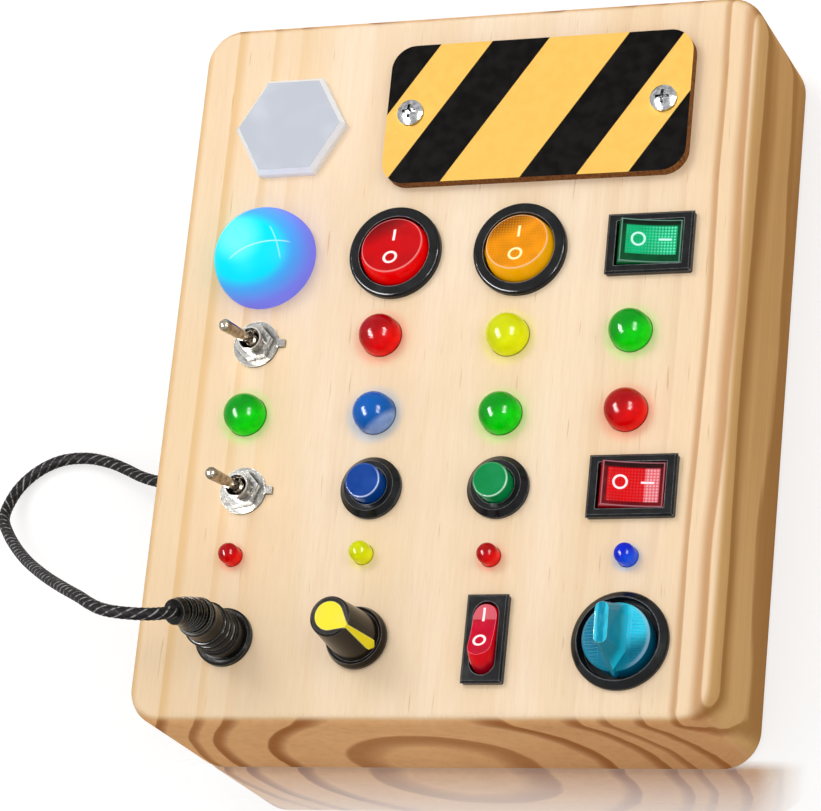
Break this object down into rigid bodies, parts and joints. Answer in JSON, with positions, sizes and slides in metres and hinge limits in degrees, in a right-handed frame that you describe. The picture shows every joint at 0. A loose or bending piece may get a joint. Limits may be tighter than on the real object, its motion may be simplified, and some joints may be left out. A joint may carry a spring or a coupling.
{
  "type": "wooden busy board",
  "caption": "Toddler's wooden activity box with rocker, toggle and rotary switches, push buttons, a dimmer knob, coloured lamps, a mirror, a striped plate and a plug on a short cord.",
  "frame": {"origin": "middle of the flat back face, on the surface that the board lies on", "axes": "+Z out of the front face with the controls; +Y along the board's length, towards the striped plate; +X to the right when the controls are read with the plate at the top"},
  "size_m": [0.2019, 0.178, 0.0799],
  "materials": {
    "pine": "sanded pine with a clear finish",
    "plywood": "raw birch plywood",
    "printed_board": "printed face, laser-cut brown edge",
    "steel": "zinc plated",
    "nickel": "nickel plated",
    "mirror": "silvered acrylic with a bevelled rim",
    "dome_blue": "translucent blue, lit from inside",
    "circuit_board": "green circuit board",
    "black_plastic": "moulded, slight sheen",
    "black_matte": "moulded, matte",
    "red_cap": "clear red",
    "amber_cap": "clear amber",
    "green_cap": "clear green",
    "blue_cap": "opaque blue",
    "deep_green_cap": "opaque green",
    "cyan_knob": "clear cyan",
    "yellow_inlay": "yellow insert",
    "red_lens": "tinted epoxy, lit",
    "yellow_lens": "tinted epoxy, lit",
    "green_lens": "tinted epoxy, lit",
    "blue_lens": "tinted epoxy, lit",
    "red_body": "phenolic",
    "tin": "tinned brass",
    "braid": "black braid with a grey tracer",
    "rubber": "black",
    "cell": "wrapped alkaline cell, no print",
    "wire": "insulated hookup wire"
  },
  "bodies": {
    "board": {"wood_case": "pine", "back_panel": "plywood", "panel_screws": "steel", "striped_plate": "printed_board", "plate_screws": "steel", "mirror_tile": "mirror", "dome_lens": "dome_blue", "dome_light_board": "circuit_board", "red_rocker_housing": "black_plastic", "amber_rocker_housing": "black_plastic", "green_rocker_housing": "black_plastic", "crimson_rocker_housing": "black_plastic", "slim_rocker_housing": "black_plastic", "toggle_bodies": "red_body", "toggle_bushings": "nickel", "toggle_nuts": "nickel", "toggle_washers": "nickel", "blue_button_body": "black_plastic", "blue_button_spring": "steel", "green_button_body": "black_plastic", "green_button_spring": "steel", "button_nuts": "steel", "dimmer_body": "tin", "dimmer_nut": "steel", "rotary_housing": "black_plastic", "socket_body": "black_plastic", "socket_nut": "steel", "socket_contact": "tin", "cord_bushing": "rubber", "big_lamps_red": "red_lens", "big_lamp_yellow": "yellow_lens", "big_lamps_green": "green_lens", "big_lamp_blue": "blue_lens", "small_lamps_red": "red_lens", "small_lamp_yellow": "yellow_lens", "small_lamp_blue": "blue_lens", "battery_box": "black_matte", "battery_door": "black_matte", "door_screw": "steel", "battery_cells": "cell", "battery_contacts": "tin", "solder_tags": "tin", "hookup_wires": "wire"},
    "red_rocker_body": {"red_rocker": "red_cap"},
    "amber_rocker_body": {"amber_rocker": "amber_cap"},
    "green_rocker_body": {"green_rocker": "green_cap"},
    "crimson_rocker_body": {"crimson_rocker": "red_cap"},
    "slim_rocker_body": {"slim_rocker": "red_cap"},
    "upper_lever": {"upper_toggle_lever": "nickel"},
    "lower_lever": {"lower_toggle_lever": "nickel"},
    "blue_cap": {"blue_button_cap": "blue_cap"},
    "green_cap": {"green_button_cap": "deep_green_cap"},
    "dimmer": {"dimmer_shaft": "steel", "dimmer_knob": "black_matte", "dimmer_pointer": "yellow_inlay"},
    "rotary": {"rotary_knob": "cyan_knob"},
    "plug": {"plug_body": "black_matte", "plug_barrel": "nickel", "cord": "braid"}
  },
  "joints": [
    {"name": "red_rocker_tilt", "type": "hinge", "parent": "board", "child": "red_rocker_body", "pos_m": [-0.015, 0.0265, 0.0415], "axis": [1, 0, 0], "range_deg": [0, 24]},
    {"name": "amber_rocker_tilt", "type": "hinge", "parent": "board", "child": "amber_rocker_body", "pos_m": [0.0165, 0.026, 0.0415], "axis": [1, 0, 0], "range_deg": [0, 24]},
    {"name": "green_rocker_tilt", "type": "hinge", "parent": "board", "child": "green_rocker_body", "pos_m": [0.0485, 0.026, 0.0415], "axis": [0, -1, 0], "range_deg": [0, 24]},
    {"name": "crimson_rocker_tilt", "type": "hinge", "parent": "board", "child": "crimson_rocker_body", "pos_m": [0.049, -0.0335, 0.0415], "axis": [0, -1, 0], "range_deg": [0, 24]},
    {"name": "slim_rocker_tilt", "type": "hinge", "parent": "board", "child": "slim_rocker_body", "pos_m": [0.017, -0.0695, 0.0415], "axis": [1, 0, 0], "range_deg": [0, 32]},
    {"name": "upper_toggle_throw", "type": "hinge", "parent": "board", "child": "upper_lever", "pos_m": [-0.0485, 0.0045, 0.0446], "axis": [0, 1, 0], "range_deg": [0, 26]},
    {"name": "lower_toggle_throw", "type": "hinge", "parent": "board", "child": "lower_lever", "pos_m": [-0.0475, -0.0325, 0.0446], "axis": [0, 1, 0], "range_deg": [0, 26]},
    {"name": "blue_button_press", "type": "slide", "parent": "board", "child": "blue_cap", "axis": [0, 0, -1], "range_m": [0, 0.003], "stiffness_N_per_m": 200, "springref_m": -0.002, "deforming": ["blue_button_spring"]},
    {"name": "green_button_press", "type": "slide", "parent": "board", "child": "green_cap", "axis": [0, 0, -1], "range_m": [0, 0.003], "stiffness_N_per_m": 200, "springref_m": -0.002, "deforming": ["green_button_spring"]},
    {"name": "dimmer_turn", "type": "hinge", "parent": "board", "child": "dimmer", "pos_m": [-0.0145, -0.069, 0.042], "axis": [0, 0, 1], "range_deg": [-32, 268]},
    {"name": "rotary_turn", "type": "hinge", "parent": "board", "child": "rotary", "pos_m": [0.049, -0.07, 0.042], "axis": [0, 0, 1], "range_deg": [-45, 45]},
    {"name": "plug_pull", "type": "slide", "parent": "board", "child": "plug", "axis": [0, 0, 1], "range_m": [0, 0.012]}
  ]
}
